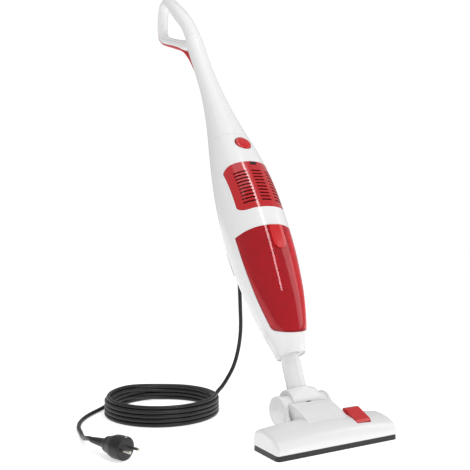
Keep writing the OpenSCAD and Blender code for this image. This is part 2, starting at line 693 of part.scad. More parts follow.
module plug_relief() color(black) plug_frame() translate([0, 0, -relief_l]) cylinder(r1 = 4.8, r2 = 8, h = relief_l);
module plug_body() color(black) plug_frame() cylinder(r = plug_r, h = plug_l);
module plug_pins() color(steel) plug_frame() for (x = [-1, 1]) translate([x * 9.5, 0, plug_l]) cylinder(r = 2.4, h = 19);
module plug_earth() color(steel) plug_frame() for (y = [-1, 1]) translate([-2, y * (plug_r - 0.7) - 0.6, plug_l - 22])
    cube([4, 1.2, 22]);

handle_shell();
handle_back();
handle_inlay();
front_shell();
rear_shell();
grille_cover();
exhaust_filter();
button_guide();
power_button();
power_switch();
motor_can();
motor_core();
motor_mounts();
motor_bearings();
impeller();
fan_shroud();
bulkhead();
wiring();
housing_screws();
rear_vent();
cord_gland();
neck_collar();
cup_seat();
neck_seal();
dust_cup();
cup_seal();
filter_frame();
mesh_screen();
pleated_filter();
inlet_pipe();
cup_latch();
neck_tube();
swivel_yoke();
pivot_barrel();
head_cover();
head_base();
bumper_strip();
end_caps();
pivot_cheeks();
head_hose();
lint_strips();
pedal();
brush_strip();
rear_wheels();
front_rollers();
head_screws();
cord_tube();
cord_coil();
cord_lead();
plug_relief();
plug_body();
plug_pins();
plug_earth();
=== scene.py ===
"""Looks of an upright corded stick vacuum cleaner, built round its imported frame.

Sizes in the classes are millimetres, in the frame that each class names; meshes are in metres.
"""

from __future__ import annotations

import json
import logging
import math
from dataclasses import dataclass
from enum import Enum

import bmesh
import bpy
import numpy as np
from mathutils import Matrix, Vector

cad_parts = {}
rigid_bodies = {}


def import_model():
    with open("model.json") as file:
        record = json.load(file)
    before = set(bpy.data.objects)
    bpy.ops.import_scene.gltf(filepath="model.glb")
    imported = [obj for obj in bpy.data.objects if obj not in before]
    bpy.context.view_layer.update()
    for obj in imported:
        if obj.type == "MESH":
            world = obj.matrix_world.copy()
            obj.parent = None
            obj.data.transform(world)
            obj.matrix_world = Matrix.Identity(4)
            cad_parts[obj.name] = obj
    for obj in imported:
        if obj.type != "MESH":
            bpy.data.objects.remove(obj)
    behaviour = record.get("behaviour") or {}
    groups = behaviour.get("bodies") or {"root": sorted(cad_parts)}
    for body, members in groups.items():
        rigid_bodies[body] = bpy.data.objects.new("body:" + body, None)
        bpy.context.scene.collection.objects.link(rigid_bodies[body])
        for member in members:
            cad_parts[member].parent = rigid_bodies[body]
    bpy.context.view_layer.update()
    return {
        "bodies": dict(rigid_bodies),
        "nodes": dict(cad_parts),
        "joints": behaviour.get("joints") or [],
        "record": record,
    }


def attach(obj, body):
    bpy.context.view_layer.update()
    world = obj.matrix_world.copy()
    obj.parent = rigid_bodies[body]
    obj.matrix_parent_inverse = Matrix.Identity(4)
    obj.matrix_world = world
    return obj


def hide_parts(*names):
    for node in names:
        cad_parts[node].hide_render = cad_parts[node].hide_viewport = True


LOG = logging.getLogger("stick_vacuum")
MM = 0.001
Piece = bpy.types.Object
Array = np.ndarray


# ---------- frames and surfaces ----------


@dataclass(frozen=True)
class Lean:
    """A frame that leans back about X: where its foot stands, and the angle in degrees."""

    foot: tuple[float, float, float]
    angle: float

    def world(self, points: Array) -> Array:
        """Millimetre points of this frame as metres in the object's frame."""
        a = math.radians(self.angle)
        x, y, z = np.moveaxis(np.asarray(points, float), -1, 0)
        turned = [x, y * math.cos(a) + z * math.sin(a), z * math.cos(a) - y * math.sin(a)]
        return MM * (np.stack(turned, -1) + np.array(self.foot))


FLAT = Lean((0, 0, 0), 0)
STICK = Lean((0, 110, 132), 30)
NECK = Lean((0, 76, 45), 23)
PIVOT = Lean((0, 76, 45), 0)


def new_piece(name: str, points: Array, faces: list[list[int]]) -> Piece:
    """Puts points and faces into a new mesh object.

    Args:
        name: the piece's name.
        points: its vertices, in metres.
        faces: vertex numbers of each face, turning left as seen from outside.
    Returns:
        The object, at the origin and unturned.
    """
    mesh = bpy.data.meshes.new(name)
    mesh.from_pydata(points.reshape(-1, 3).tolist(), [], faces)
    piece = bpy.data.objects.new(name, mesh)
    bpy.context.scene.collection.objects.link(piece)
    return piece


def ring_faces(rows: int, columns: int, closed: bool = False) -> list[list[int]]:
    """Faces of a skin through rings that turn left round the way they advance.

    Args:
        rows: number of rings.
        columns: points in each ring.
        closed: the last ring joins the first, as on a bead; otherwise both ends are capped.
    Returns:
        Four corners for each cell between two rings, and a polygon for each cap.
    """
    low = np.arange(rows if closed else rows - 1)[:, None] * columns
    high = (low + columns) % (rows * columns)
    here = np.arange(columns)[None, :]
    after = (here + 1) % columns
    faces = np.stack([low + here, low + after, high + after, high + here], -1).reshape(-1, 4).tolist()
    if not closed:
        faces += [list(range(columns))[::-1], list(range((rows - 1) * columns, rows * columns))]
    return faces


def skin(name: str, rings: Array, closed: bool = False) -> Piece:
    """A closed skin through rings of shape (rows, columns, 3), in metres."""
    return new_piece(name, rings, ring_faces(rings.shape[0], rings.shape[1], closed))


def spline(rows: Array, steps: int) -> Array:
    """Catmull-Rom curve through rows: each span is a cubic that leaves and arrives along the chord of its neighbours.

    Args:
        rows: points or any other values, one row each; the end rows are repeated.
        steps: samples in each span.
    Returns:
        The samples and the last row.
    """
    p = np.vstack([rows[:1], rows, rows[-1:]]).astype(float)
    a, b, c, d = p[:-3], p[1:-2], p[2:-1], p[3:]
    u = (np.arange(steps) / steps)[:, None, None]
    curve = b + u * (c - a + u * (2 * a - 5 * b + 4 * c - d + u * (3 * (b - c) + d - a))) / 2
    return np.vstack([curve.transpose(1, 0, 2).reshape(-1, p.shape[1]), p[-1:]])


def turning_left(outline: Array) -> Array:
    """The outline, reversed where its area by the shoelace sum is negative."""
    x, y = outline[:, 0], outline[:, 1]
    area = np.sum(x * np.roll(y, -1) - y * np.roll(x, -1))
    return outline if area > 0 else outline[::-1]


def slab(name: str, outline: Array, across: str, low: float, high: float, frame: Lean) -> Piece:
    """A flat outline carried straight along X, as (Y, Z) points, or along Y, as (X, Z) points.

    Args:
        name: the piece's name.
        outline: its corners in millimetres.
        across: "x" or "y".
        low: where it starts on that axis.
        high: where it ends on that axis.
        frame: the frame that it stands in.
    Returns:
        The closed prism.
    """
    flat = turning_left(np.asarray(outline, float))
    level = np.array([low, high] if across == "x" else [high, low])[:, None] + np.zeros(len(flat))
    u, v = flat[:, 0] + np.zeros((2, 1)), flat[:, 1] + np.zeros((2, 1))
    points = np.stack([level, u, v] if across == "x" else [u, level, v], -1)
    return skin(name, frame.world(points))


def arc(centre: tuple[float, float], radius: float, start: float, end: float, steps: int) -> Array:
    """Points on a circle's arc, angles in degrees."""
    a = np.radians(np.linspace(start, end, steps))
    return np.stack([centre[0] + radius * np.cos(a), centre[1] + radius * np.sin(a)], -1)


def rounded(width: float, height: float, radius: float, centre: tuple[float, float] = (0, 0)) -> Array:
    """A rectangle's outline with its four corners rounded."""
    x, z = width / 2 - radius, height / 2 - radius
    corners = [(x, z, 0), (-x, z, 90), (-x, -z, 180), (x, -z, 270)]
    return np.vstack([arc((centre[0] + i, centre[1] + j), radius, a, a + 90, 10) for i, j, a in corners])


def turned_rod(name: str, rows: Array, start: Array, end: Array, frame: Lean, sides: int = 64) -> Piece:
    """A turned body: each row (distance along, radius) is a circle across the line from start to end.

    Args:
        name: the piece's name.
        rows: distances from start and radii, in millimetres.
        start: the line's first point.
        end: a point further along the line.
        frame: the frame of both points.
        sides: points in each circle.
    Returns:
        The closed body.
    """
    start, end, rows = (np.asarray(v, float) for v in (start, end, rows))
    along = (end - start) / np.linalg.norm(end - start)
    u = np.cross(along, [0, 0, 1] if abs(along[2]) < 0.9 else [1, 0, 0])
    u /= np.linalg.norm(u)
    v = np.cross(along, u)
    a = np.linspace(0, 2 * np.pi, sides, endpoint=False)[:, None]
    circle = u * np.cos(a) + v * np.sin(a)
    rings = start + rows[:, :1, None] * along + rows[:, 1:, None] * circle
    return skin(name, frame.world(rings))


def rod(name: str, radius: float, start: Array, end: Array, frame: Lean, sides: int = 64) -> Piece:
    """A plain cylinder from start to end."""
    length = float(np.linalg.norm(np.subtract(end, start)))
    return turned_rod(name, np.array([[0, radius], [length, radius]]), start, end, frame, sides)


def oval_bar(name: str, rows: Array, steps: int, sides: int, frame: Lean) -> Piece:
    """A bar of oval section along a curve in the side view, from rows of (back, up, half width, half height)."""
    path = spline(rows, steps)
    way = np.gradient(path[:, :2], axis=0)
    way /= np.linalg.norm(way, axis=1, keepdims=True)
    a = np.linspace(0, 2 * np.pi, sides, endpoint=False)
    out = path[:, 3:4] * np.sin(a)
    x = path[:, 2:3] * np.cos(a)
    rings = np.stack([x, path[:, :1] + out * way[:, 1:], path[:, 1:2] - out * way[:, :1]], -1)
    return skin(name, frame.world(rings))


def bead(name: str, path: Array, outward: Array, radius: float) -> Piece:
    """A round bead along a closed path: at each point a circle across the path, squared to the outward direction.

    Args:
        name: the piece's name.
        path: closed path in metres.
        outward: a direction for each point, away from the surface.
        radius: the bead's radius in metres.
    Returns:
        The closed ring.
    """
    way = np.roll(path, -1, 0) - np.roll(path, 1, 0)
    way /= np.linalg.norm(way, axis=1, keepdims=True)
    u = outward - np.sum(outward * way, 1, keepdims=True) * way
    u /= np.linalg.norm(u, axis=1, keepdims=True)
    v = np.cross(way, u)
    a = np.linspace(0, 2 * np.pi, 12, endpoint=False)[None, :, None]
    rings = path[:, None] + radius * (u[:, None] * np.cos(a) + v[:, None] * np.sin(a))
    return skin(name, rings, closed=True)


def settle(piece: Piece) -> Piece:
    """Replaces a piece's mesh with what its modifiers make of it."""
    made = piece.evaluated_get(bpy.context.evaluated_depsgraph_get())
    mesh = bpy.data.meshes.new_from_object(made)
    piece.modifiers.clear()
    piece.data = mesh
    return piece


def carve(piece: Piece, cutter: Piece, keep_inside: bool = False) -> Piece:
    """Cuts the cutter's space out of a piece, or keeps only that space, and removes the cutter."""
    cut = piece.modifiers.new("carve", "BOOLEAN")
    cut.operation = "INTERSECT" if keep_inside else "DIFFERENCE"
    cut.solver = "MANIFOLD"
    cut.object = cutter
    settle(piece)
    bpy.data.objects.remove(cutter)
    return piece


def fused(name: str, parts: list[Piece], grain: float, passes: int) -> Piece:
    """One skin round overlapping closed parts: a voxel remesh of that grain in metres, then smoothed."""
    body = bmesh.new()
    for part in parts:
        body.from_mesh(part.data)
        bpy.data.objects.remove(part)
    mesh = bpy.data.meshes.new(name)
    body.to_mesh(mesh)
    body.free()
    piece = bpy.data.objects.new(name, mesh)
    bpy.context.scene.collection.objects.link(piece)
    voxels = piece.modifiers.new("voxels", "REMESH")
    voxels.mode, voxels.voxel_size = "VOXEL", grain
    soft = piece.modifiers.new("soft", "SMOOTH")
    soft.factor, soft.iterations = 0.5, passes
    return settle(piece)


def shade(piece: Piece, angle: float = 32) -> Piece:
    """Smooth faces, with edges sharper than the angle left crisp."""
    piece.data.polygons.foreach_set("use_smooth", np.ones(len(piece.data.polygons), bool))
    piece.data.set_sharp_from_angle(angle=math.radians(angle))
    return piece


# ---------- finishes ----------


def linear(colour: str) -> tuple[float, float, float, float]:
    """An sRGB hex colour as linear light, with full alpha."""
    c = np.array([int(colour[i : i + 2], 16) for i in (1, 3, 5)]) / 255
    light = np.where(c <= 0.04045, c / 12.92, ((c + 0.055) / 1.055) ** 2.4)
    return (float(light[0]), float(light[1]), float(light[2]), 1.0)


def add_node(tree: bpy.types.NodeTree, kind: str, settings: dict, links: dict | None = None) -> bpy.types.Node:
    """Adds a node: settings name its sockets or properties, links name a socket and the output that feeds it."""
    node = tree.nodes.new(kind)
    for key, value in settings.items():
        if key in node.inputs:
            node.inputs[key].default_value = value
        else:
            setattr(node, key, value)
    for key, source in (links or {}).items():
        tree.links.new(source, node.inputs[key])
    return node


class Grain(Enum):
    """How a surface was made, which is the pattern that it shows."""

    MOULDED = "fine even texture of a moulded skin"
    BRUSHED = "long scratches across the piece"
    CELLS = "open cells of a foam"
    PLEATS = "folds of pleated paper"
    WOVEN = "crossing wires or threads"
    STRANDS = "hairs side by side"


@dataclass(frozen=True)
class Finish:
    """One real material: its two colours, its gloss, and the size of its grain in millimetres."""

    name: str
    colour: str
    shade: str
    roughness: float
    grain: Grain = Grain.MOULDED
    grain_mm: float = 1.2
    relief: float = 0.05
    metallic: float = 0.0
    ior: float = 1.5
    coat: float = 0.0
    transmission: float = 0.0
    sheen: float = 0.0

    def pattern(self, tree: bpy.types.NodeTree) -> bpy.types.NodeSocket:
        """The grain as a value from 0 to 1, on Object coordinates, in cells of grain_mm."""
        place = add_node(tree, "ShaderNodeTexCoord", {}).outputs["Object"]
        scale = 1 / (self.grain_mm * MM)
        stretch = {Grain.BRUSHED: (0.06, 1, 1), Grain.STRANDS: (1, 0.2, 0.2)}.get(self.grain, (1, 1, 1))
        place = add_node(tree, "ShaderNodeMapping", {"Scale": stretch}, {"Vector": place}).outputs["Vector"]
        if self.grain is Grain.CELLS:
            cells = add_node(tree, "ShaderNodeTexVoronoi", {"Scale": scale}, {"Vector": place})
            return cells.outputs["Distance"]
        if self.grain in (Grain.PLEATS, Grain.WOVEN):
            settings = {"Scale": scale / 3.2, "bands_direction": "X"}
            across = add_node(tree, "ShaderNodeTexWave", settings, {"Vector": place}).outputs["Fac"]
            if self.grain is Grain.PLEATS:
                return across
            settings = {"Scale": scale / 3.2, "bands_direction": "Z"}
            along = add_node(tree, "ShaderNodeTexWave", settings, {"Vector": place}).outputs["Fac"]
            both = add_node(tree, "ShaderNodeMath", {"operation": "MAXIMUM"})
            tree.links.new(across, both.inputs[0])
            tree.links.new(along, both.inputs[1])
            return both.outputs[0]
        return add_node(tree, "ShaderNodeTexNoise", {"Scale": scale, "Detail": 4.0}, {"Vector": place}).outputs["Fac"]

    def material(self) -> bpy.types.Material:
        """Builds the node material once, and gives the same one on later calls."""
        made = bpy.data.materials.get(self.name)
        if made is not None:
            return made
        made = bpy.data.materials.new(self.name)
        made.use_nodes = True
        tree = made.node_tree
        tree.nodes.clear()
        grain = self.pattern(tree)
        tone = add_node(tree, "ShaderNodeMix", {"data_type": "RGBA"})
        tone.inputs[6].default_value, tone.inputs[7].default_value = linear(self.colour), linear(self.shade)
        tree.links.new(grain, tone.inputs[0])
        spread = {"To Min": max(0.0, self.roughness - 0.03), "To Max": self.roughness + 0.05}
        rough = add_node(tree, "ShaderNodeMapRange", spread, {"Value": grain})
        bump = {"Strength": self.relief, "Distance": self.grain_mm * MM * 0.25}
        raised = add_node(tree, "ShaderNodeBump", bump, {"Height": grain})
        settings = {
            "Metallic": self.metallic,
            "IOR": self.ior,
            "Coat Weight": self.coat,
            "Coat Roughness": 0.05,
            "Transmission Weight": self.transmission,
            "Sheen Weight": self.sheen,
        }
        wires = {"Base Color": tone.outputs[2], "Roughness": rough.outputs[0], "Normal": raised.outputs[0]}
        shader = add_node(tree, "ShaderNodeBsdfPrincipled", settings, wires)
        add_node(tree, "ShaderNodeOutputMaterial", {}, {"Surface": shader.outputs[0]})
        return made


# Glossy moulded ABS: broad soft highlights with a barely uneven skin
WHITE_ABS = Finish("glossy_white_abs", "#F3F3F3", "#EFEFEF", 0.2, grain_mm=3.0, relief=0.015, coat=0.35)
INNER_ABS = Finish("satin_white_abs", "#E6E6E6", "#DEDEDE", 0.42, grain_mm=1.0, relief=0.04)
RED_ABS = Finish("glossy_red_abs", "#D4000A", "#C80008", 0.18, grain_mm=3.0, relief=0.015, coat=0.5)
RED_GRIP = Finish("soft_red_elastomer", "#C80A12", "#B80810", 0.42, grain_mm=0.8, relief=0.08)
RED_GRILLE = Finish("tinted_red_polycarbonate", "#C80012", "#BC000E", 0.12, grain_mm=4.0, relief=0.01, coat=0.8)
# Clear tinted polycarbonate: the wall colours what is behind it and mirrors the lights
CLEAR_RED = Finish("clear_red_polycarbonate", "#FA1030", "#F40C2A", 0.03, grain_mm=6.0, relief=0.0, transmission=0.72)
DARK_ABS = Finish("dark_grey_abs", "#2A1418", "#221014", 0.34, grain_mm=0.9, relief=0.06)
RUBBER = Finish("black_rubber", "#161616", "#1E1E1E", 0.55, grain_mm=0.7, relief=0.12)
CORD_PVC = Finish("black_pvc_sheath", "#141414", "#1B1B1B", 0.38, grain_mm=2.0, relief=0.05)
STEEL = Finish("brushed_steel", "#B8B8BA", "#A4A4A8", 0.28, Grain.BRUSHED, 0.6, 0.06, metallic=1.0)
COPPER = Finish("wound_copper", "#B0602A", "#8A4418", 0.35, Grain.BRUSHED, 0.8, 0.2, metallic=1.0)
ALUMINIUM = Finish("cast_aluminium", "#B4B6BA", "#9EA0A4", 0.45, grain_mm=0.8, relief=0.12, metallic=1.0)
NICKEL = Finish("nickel_plated_brass", "#C9C6BC", "#B9B6AC", 0.2, Grain.BRUSHED, 0.5, 0.04, metallic=1.0)
FOAM = Finish("open_cell_foam", "#3A3A3C", "#141416", 0.9, Grain.CELLS, 1.8, 0.6)
PAPER = Finish("pleated_filter_paper", "#E8E4DA", "#CFC9BC", 0.85, Grain.PLEATS, 3.0, 0.3)
# The real wires are 0.2 mm apart; 1.2 mm is what still shows
MESH = Finish("woven_steel_mesh", "#8A2A30", "#3A0C10", 0.4, Grain.WOVEN, 1.2, 0.4, metallic=0.5)
BRISTLE = Finish("nylon_bristles", "#26262A", "#0E0E10", 0.6, Grain.STRANDS, 0.8, 0.5)
VELOUR = Finish("red_lint_velour", "#A81018", "#7A0A10", 0.9, grain_mm=0.6, relief=0.4, sheen=0.6)

CAD_FINISHES: dict[Finish, tuple[str, ...]] = {
    WHITE_ABS: ("neck_tube", "pivot_barrel", "pivot_cheeks"),
    INNER_ABS: ("fan_shroud", "bulkhead", "neck_collar", "cup_seat", "head_base"),
    RED_ABS: ("power_button", "cup_latch", "pedal"),
    DARK_ABS: ("filter_frame", "inlet_pipe", "button_guide", "power_switch", "rear_vent"),
    RUBBER: ("motor_mounts", "cup_seal", "neck_seal", "cord_gland", "head_hose", "rear_wheels", "front_rollers"),
    STEEL: ("motor_can", "motor_bearings", "housing_screws", "head_screws"),
    COPPER: ("motor_core",),
    ALUMINIUM: ("impeller",),
    NICKEL: ("plug_pins", "plug_earth"),
    FOAM: ("exhaust_filter",),
    PAPER: ("pleated_filter",),
    MESH: ("mesh_screen",),
    BRISTLE: ("brush_strip",),
    VELOUR: ("lint_strips",),
    CORD_PVC: ("wiring", "bumper_strip", "plug_relief"),
}


def dress(
    piece: Piece, finish: Finish, body: str, stands_for: tuple[str, ...] = ()
) -> Piece:
    """Gives a finished piece its material and its body, and hides the CAD nodes that it stands for.

    Args:
        piece: the piece, final in shape.
        finish: its material.
        body: the CAD body that it moves with.
        stands_for: CAD nodes that it is shown instead of.
    Returns:
        The same piece.
    """
    piece.data.materials.clear()
    piece.data.materials.append(finish.material())
    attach(piece, body)
    if stands_for:
        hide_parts(*stands_for)
    LOG.info("%s in %s on %s", piece.name, finish.name, body)
    return piece


# ---------- main housing ----------


@dataclass(frozen=True)
class HousingForm:
    """The long body: stations every 50 mm up the stick, each in percent of half width, front depth and back depth."""

    half_width: float = 62
    half_depth: float = 70
    step: float = 50
    power: float = 2.25
    stations: tuple[tuple[float, float, float], ...] = (
        (45, 46, 37), (66, 71, 50), (82, 88, 63), (92, 99, 76), (97.5, 107, 86), (100, 110, 90),
        (100, 110, 87), (97, 106, 80), (90, 97, 71), (79, 83, 61), (64.5, 67, 53), (51.5, 53, 44),
        (42, 41, 38), (36, 31, 34), (33, 23, 36), (32, 19, 38), (32, 17, 40),
    )  # fmt: skip

    def halves(self, s: Array) -> Array:
        """Half width, front depth and back depth at heights s: Catmull-Rom between the stations."""
        table = np.array(self.stations) * [self.half_width, self.half_depth, self.half_depth] / 100
        u = np.clip(np.asarray(s, float) / self.step, 0, len(table) - 1.000001)
        i = np.floor(u).astype(int)
        u = (u - i)[..., None]
        a, b, c, d = (table[np.clip(i + k, 0, len(table) - 1)] for k in (-1, 0, 1, 2))
        return b + u * (c - a + u * (2 * a - 5 * b + 4 * c - d + u * (3 * (b - c) + d - a))) / 2

    def ring(self, s: Array, turn: Array, inset: float) -> Array:
        """Points of the superellipse at height s: x and y are powers 2 / 2.25 of the turn's cosine and sine."""
        w, f, b = np.moveaxis(self.halves(s), -1, 0)
        c, n = np.cos(turn), np.sin(turn)
        x = (w - inset) * np.sign(c) * np.abs(c) ** (2 / self.power)
        y = (b - f) / 2 + ((b + f) / 2 - inset) * np.sign(n) * np.abs(n) ** (2 / self.power)
        return np.stack([x, y, s + np.zeros_like(x)], -1)

    def solid(self, name: str, inset: float, low: float, high: float, sides: int = 160) -> Piece:
        """The closed body between two heights, inset from the outside, with a ring about every 4 mm."""
        s = np.linspace(low, high, max(2, round((high - low) / 4)))[:, None]
        turn = np.linspace(0, 2 * np.pi, sides, endpoint=False)[None, :]
        return skin(name, STICK.world(self.ring(s + 0 * turn, turn + 0 * s, inset)))

    def front(self, x: Array, s: Array) -> Array:
        """Depth y of the outside's front at x and height s, from the superellipse."""
        w, f, b = np.moveaxis(self.halves(s), -1, 0)
        across = np.clip(1 - np.abs(x / w) ** self.power, 0, 1) ** (1 / self.power)
        return (b - f) / 2 - (b + f) / 2 * across

    def side(self, y: Array, s: Array) -> Array:
        """Half breadth x of the outside at depth y and height s, zero beyond its front."""
        w, f, b = np.moveaxis(self.halves(s), -1, 0)
        return w * np.clip(1 - np.abs((y - (b - f) / 2) * 2 / (b + f)) ** self.power, 0, 1) ** (1 / self.power)


FORM = HousingForm()


@dataclass(frozen=True)
class Housing:
    """Front and rear shells with the grille opening, the button's hole and the bay for the dust cup."""

    wall: float = 2.6
    parting: float = -8
    joint: float = 0.3
    seam_at: float = 490.75
    seam_rise: float = 0.25
    cup_top: float = 240
    cup_foot: float = 44
    cup_split: float = -22
    grille_mid: float = 338
    grille_size: tuple[float, float, float] = (108, 113, 14)
    button_at: tuple[float, float, float] = (0, -58.3, 449)
    button_out: tuple[float, float, float] = (0, -0.9744, 0.225)

    def beyond_seam(self, above: bool, shift: float) -> Piece:
        """Wedge above or below the sloping seam, moved along the stick by shift."""
        low, high = self.seam_at - 200 * self.seam_rise + shift, self.seam_at + 200 * self.seam_rise + shift
        far = 1200 if above else -200
        side = np.array([[-200, low], [200, high], [200, far], [-200, far]])
        return slab("seam_cutter", side, "x", -150, 150, STICK)

    def bay_outline(self, grow: float, top: float) -> Array:
        """Side view of the dust cup's bay: flat top, upright back, a round corner, and a foot that slopes down."""
        y, foot, r = self.cup_split + grow, self.cup_foot - 3 - grow, 12
        corner = arc((y - r, foot + r), r, 0, -55, 12)
        end = [[-200, foot - (200 + self.cup_split) * math.tan(math.radians(35))]]
        return np.vstack([[[-200, top], [y, top]], corner, end])

    def bay(self, grow: float, top: float) -> Piece:
        """The bay as a cutter right through the sides."""
        return slab("bay_cutter", self.bay_outline(grow, top), "x", -120, 120, STICK)

    def window(self, grow: float) -> Array:
        """Front view of the grille opening."""
        w, h, r = self.grille_size
        return rounded(w + 2 * grow, h + 2 * grow, r + grow, (0, self.grille_mid))

    def shell(self, name: str) -> Piece:
        """The hollow body up to the seam."""
        blank = FORM.solid(name, 0, 0, 520)
        carve(blank, FORM.solid("hollow", self.wall, -2, 530))
        return carve(blank, self.beyond_seam(True, -self.joint / 2))

    def half_space(self, front: bool) -> Piece:
        """What lies before or behind the parting plane, less half the joint line."""
        y = self.parting + (self.joint / 2 if front else -self.joint / 2)
        far = -200 if front else 200
        square = np.array([[y, -20], [far, -20], [far, 600], [y, 600]])
        return slab("parting_cutter", square, "x", -150, 150, STICK)

    def build(self) -> None:
        """Makes and dresses both shells and the beads round their openings."""
        front = carve(self.shell("front_housing_shell"), self.half_space(False))
        carve(front, self.bay(0.4, self.cup_top + 0.4))
        carve(front, slab("window_cutter", self.window(0.3), "y", -200, -20, STICK))
        at, out = np.array(self.button_at), np.array(self.button_out)
        carve(front, rod("button_cutter", 18.5, at - 20 * out, at + 20 * out, STICK, 96))
        dress(shade(front), WHITE_ABS, "housing", ("front_shell",))
        rear = carve(self.shell("rear_housing_shell"), self.half_space(True))
        carve(rear, rod("gland_cutter", 9.2, (0, 301, 280), (0, 301, 350), FLAT))
        for s in (110, 400, 452):
            carve(rear, rod("screw_cutter", 4, (0, 20, s), (0, 90, s), STICK, 32))
        dress(shade(rear), WHITE_ABS, "housing", ("rear_shell",))
        for ring in (self.window_bead(), self.bay_bead(), self.button_bead()):
            dress(shade(ring, 80), WHITE_ABS, "housing")

    def window_bead(self) -> Piece:
        """Rounded edge of the grille opening, on the housing's own surface."""
        w, h, r = self.grille_size
        outline = rounded(w + 2.4, h + 2.4, r + 1.2, (0, self.grille_mid))
        close = np.vstack([outline, outline[:1]])
        fine = np.vstack([close[:-1] + (close[1:] - close[:-1]) * t for t in np.linspace(0, 1, 8, endpoint=False)])
        fine = fine.reshape(8, -1, 2).transpose(1, 0, 2).reshape(-1, 2)
        y = FORM.front(fine[:, 0], fine[:, 1])
        points = np.stack([fine[:, 0], y, fine[:, 1]], -1)
        return self.on_surface("grille_opening_bead", points, 0.9)

    def bay_bead(self) -> Piece:
        """Rounded edge of the cup's bay: along the top ring, down both sides and round the sloping foot."""
        outline = self.bay_outline(1.2, self.cup_top + 1.2)[1:]
        near = outline[-2] + (outline[-1] - outline[-2]) * np.linspace(0, 1, 400)[:, None]
        down = outline[0] + (outline[1] - outline[0]) * np.linspace(0, 1, 60)[:, None]
        path = np.vstack([down[:-1], outline[1:-1], near[1:]])
        x = FORM.side(path[:, 0], path[:, 1])
        last = int(np.argmax(x <= 0.5))
        half = np.column_stack([x, path])[:last]
        s = half[0, 2]
        ys = half[0, 1] - (half[0, 1] - FORM.front(np.array(0.0), np.array(s))) * (np.linspace(0, 1, 120) ** 0.5)
        top = np.column_stack([FORM.side(ys, ys * 0 + s), ys, ys * 0 + s])[1:-1][::-1]
        right = np.vstack([top, half])
        left = right[::-1] * [-1, 1, 1]
        return self.on_surface("cup_bay_bead", np.vstack([right, left]), 0.9)

    def button_bead(self) -> Piece:
        """Rounded edge of the button's hole."""
        a = np.linspace(0, 2 * np.pi, 96, endpoint=False)
        x, s = 18.9 * np.cos(a), self.button_at[2] + 18.4 * np.sin(a)
        return self.on_surface("button_hole_bead", np.stack([x, FORM.front(x, s), s], -1), 0.6)

    def on_surface(self, name: str, points: Array, radius: float) -> Piece:
        """A bead half sunk into the housing, along closed points of the stick's frame."""
        outward = STICK.world(points * [1, 1, 0]) - STICK.world(np.array([0, 10, 0]) + points * 0)
        sunk = points - radius * 0.55 * self.away(points)
        return bead(name, STICK.world(sunk), outward, radius * MM)

    def away(self, points: Array) -> Array:
        """Unit direction from the body's middle line to each point, level across the stick."""
        flat = points * [1, 1, 0] - np.array([0, 10, 0])
        return flat / np.linalg.norm(flat, axis=1, keepdims=True)


HOUSING = Housing()


@dataclass(frozen=True)
class ExhaustGrille:
    """Red cover with three columns of round-ended slots."""

    thickness: float = 2.6
    columns: tuple[float, ...] = (-33, 0, 33)
    slot: tuple[float, float, float] = (23, 3.6, 1.7)
    rows: int = 10
    pitch: float = 8
    middle: float = 334

    def build(self) -> None:
        """Cuts the cover from the housing's form, then its slots, then lays the dark tab on it."""
        cover = FORM.solid("exhaust_grille", 0.2, 270, 405)
        carve(cover, slab("outline", HOUSING.window(0), "y", -200, -20, STICK), keep_inside=True)
        carve(cover, FORM.solid("inside", self.thickness, 265, 410))
        w, h, r = self.slot
        for x in self.columns:
            for i in range(self.rows):
                s = self.middle + (i - (self.rows - 1) / 2) * self.pitch
                carve(cover, slab("slot", rounded(w, h, r, (x, s)), "y", -200, -30, STICK))
        dress(shade(cover), RED_GRILLE, "housing", ("grille_cover",))
        tab = slab("grille_tab", rounded(15, 7, 3, (0, 389.5)), "y", -90, -40, STICK)
        carve(tab, FORM.solid("tab_outside", -0.7, 370, 410), keep_inside=True)
        carve(tab, FORM.solid("tab_inside", 0.1, 365, 415))
        dress(shade(tab), DARK_ABS, "housing")


@dataclass(frozen=True)
class DustCup:
    """Clear cup: outside flush with the housing before the bay's edge, and inset from it behind."""

    wall: float = 2.2
    inset: float = 5.9
    inlet: tuple[float, float] = (-1, 14)

    def body(self, name: str, wall: float, foot: float, top: float) -> Piece:
        """The cup's blank, shrunk by wall: its visible front joined with its hidden back."""
        front = FORM.solid(name, wall, 6, top)
        carve(front, HOUSING.bay(-wall, top + 20), keep_inside=True)
        back = FORM.solid("back", self.inset + wall, foot, top)
        join = front.modifiers.new("join", "BOOLEAN")
        join.operation, join.solver, join.object = "UNION", "MANIFOLD", back
        settle(front)
        bpy.data.objects.remove(back)
        return front

    def build(self) -> None:
        """Hollows the blank, opens the inlet and dresses the cup."""
        cup = self.body("clear_dust_cup", 0, HOUSING.cup_foot + 1, HOUSING.cup_top - 0.2)
        carve(cup, self.body("hollow", self.wall, HOUSING.cup_foot + 4, HOUSING.cup_top + 5))
        y, r = self.inlet
        carve(cup, rod("inlet", r, (0, y, 24), (0, y, 84), STICK))
        dress(shade(cup), CLEAR_RED, "cup", ("dust_cup",))


